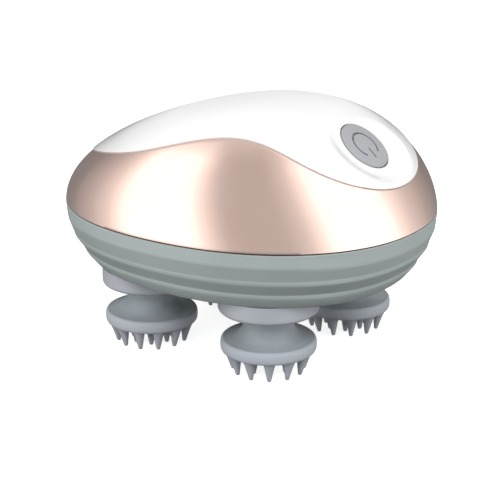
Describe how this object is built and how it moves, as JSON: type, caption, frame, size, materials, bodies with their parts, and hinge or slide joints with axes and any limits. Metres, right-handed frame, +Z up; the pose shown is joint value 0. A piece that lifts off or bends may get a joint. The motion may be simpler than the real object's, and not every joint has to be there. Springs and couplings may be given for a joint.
{
  "type": "electric scalp massager",
  "caption": "Cordless electric scalp massager: egg-shaped hand grip with a power button, over rotating silicone heads with massage fingers.",
  "frame": {"origin": "centre of the bounding box at its base, where the finger tips stand", "axes": "+X from the tail to the nose with the power button, +Y to the left, +Z up through the dome"},
  "size_m": [0.124, 0.106, 0.082],
  "materials": {
    "white_shell": "high-gloss white moulding",
    "rose_gold": "moulding with a polished rose-gold metallic plating",
    "button_grey": "satin light grey moulding",
    "inner_plastic": "plain moulded natural white",
    "grip_grey": "satin grey moulding with a faint green cast",
    "gasket_brown": "matt dark brown sealing strip",
    "collar_grey": "satin pale grey moulding",
    "silicone": "soft matt grey silicone",
    "steel": "plain turned steel",
    "brass": "plain turned brass",
    "black_rubber": "matt black",
    "gear_plastic": "natural acetal",
    "black_plastic": "matt black moulding",
    "cell_blue": "shrink-wrapped metal can",
    "board_green": "green lacquered board"
  },
  "bodies": {
    "shell": {"top_cover": "white_shell", "side_band": "rose_gold", "button_guide": "inner_plastic", "grip_base": "grip_grey", "parting_gasket": "gasket_brown", "collar_nose_left": "collar_grey", "collar_tail_left": "collar_grey", "collar_tail_right": "collar_grey", "collar_nose_right": "collar_grey", "bush_nose_left": "brass", "bush_tail_left": "brass", "bush_tail_right": "brass", "bush_nose_right": "brass", "seal_nose_left": "black_rubber", "seal_tail_left": "black_rubber", "seal_tail_right": "black_rubber", "seal_nose_right": "black_rubber", "sun_axle": "steel", "sun_clip": "steel", "idler_axle": "steel", "motor_can": "steel", "motor_end_cap": "black_plastic", "motor_screws": "steel", "gear_cover": "inner_plastic", "cover_screws": "steel", "battery_cell": "cell_blue", "battery_cradle": "black_plastic", "circuit_board": "board_green", "board_bracket": "inner_plastic", "board_screws": "steel", "switch_body": "black_plastic", "charging_socket": "black_plastic"},
    "sun": {"sun_gear": "gear_plastic"},
    "idler": {"idler_gear": "gear_plastic"},
    "rotor": {"motor_shaft": "steel", "motor_pinion": "brass"},
    "button": {"power_button": "button_grey", "switch_plunger": "black_plastic"},
    "massage_head_nose_left": {"head_nose_left": "silicone", "core_nose_left": "inner_plastic", "spindle_nose_left": "steel", "gear_nose_left": "gear_plastic"},
    "massage_head_tail_left": {"head_tail_left": "silicone", "core_tail_left": "inner_plastic", "spindle_tail_left": "steel", "gear_tail_left": "gear_plastic"},
    "massage_head_tail_right": {"head_tail_right": "silicone", "core_tail_right": "inner_plastic", "spindle_tail_right": "steel", "gear_tail_right": "gear_plastic"},
    "massage_head_nose_right": {"head_nose_right": "silicone", "core_nose_right": "inner_plastic", "spindle_nose_right": "steel", "gear_nose_right": "gear_plastic"}
  },
  "joints": [
    {"name": "sun_spin", "type": "hinge", "parent": "shell", "child": "sun", "pos_m": [0, 0, 0.032], "axis": [0, 0, 1], "continuous": true},
    {"name": "head_spin_nose_left", "type": "hinge", "parent": "shell", "child": "massage_head_nose_left", "pos_m": [0.02334, 0.02334, 0.02], "axis": [0, 0, 1], "continuous": true},
    {"name": "head_spin_tail_left", "type": "hinge", "parent": "shell", "child": "massage_head_tail_left", "pos_m": [-0.02334, 0.02334, 0.02], "axis": [0, 0, 1], "continuous": true},
    {"name": "head_spin_tail_right", "type": "hinge", "parent": "shell", "child": "massage_head_tail_right", "pos_m": [-0.02334, -0.02334, 0.02], "axis": [0, 0, 1], "continuous": true},
    {"name": "head_spin_nose_right", "type": "hinge", "parent": "shell", "child": "massage_head_nose_right", "pos_m": [0.02334, -0.02334, 0.02], "axis": [0, 0, 1], "continuous": true},
    {"name": "idler_spin", "type": "hinge", "parent": "shell", "child": "idler", "pos_m": [0.026, 0, 0.032], "axis": [0, 0, 1], "continuous": true},
    {"name": "rotor_spin", "type": "hinge", "parent": "shell", "child": "rotor", "pos_m": [0, 0, 0.04], "axis": [0, 0, 1], "continuous": true},
    {"name": "power_press", "type": "slide", "parent": "shell", "child": "button", "axis": [-0.6428, 0, -0.766], "range_m": [0, 0.0008], "stiffness_N_per_m": 800, "springref_m": -0.0005}
  ],
  "couplings": [
    {"joint": "head_spin_nose_left", "follows": "sun_spin", "ratio": -1.5385},
    {"joint": "head_spin_tail_left", "follows": "sun_spin", "ratio": -1.5385},
    {"joint": "head_spin_tail_right", "follows": "sun_spin", "ratio": -1.5385},
    {"joint": "head_spin_nose_right", "follows": "sun_spin", "ratio": -1.5385},
    {"joint": "idler_spin", "follows": "sun_spin", "ratio": -3.3333},
    {"joint": "rotor_spin", "follows": "sun_spin", "ratio": 7.5}
  ]
}
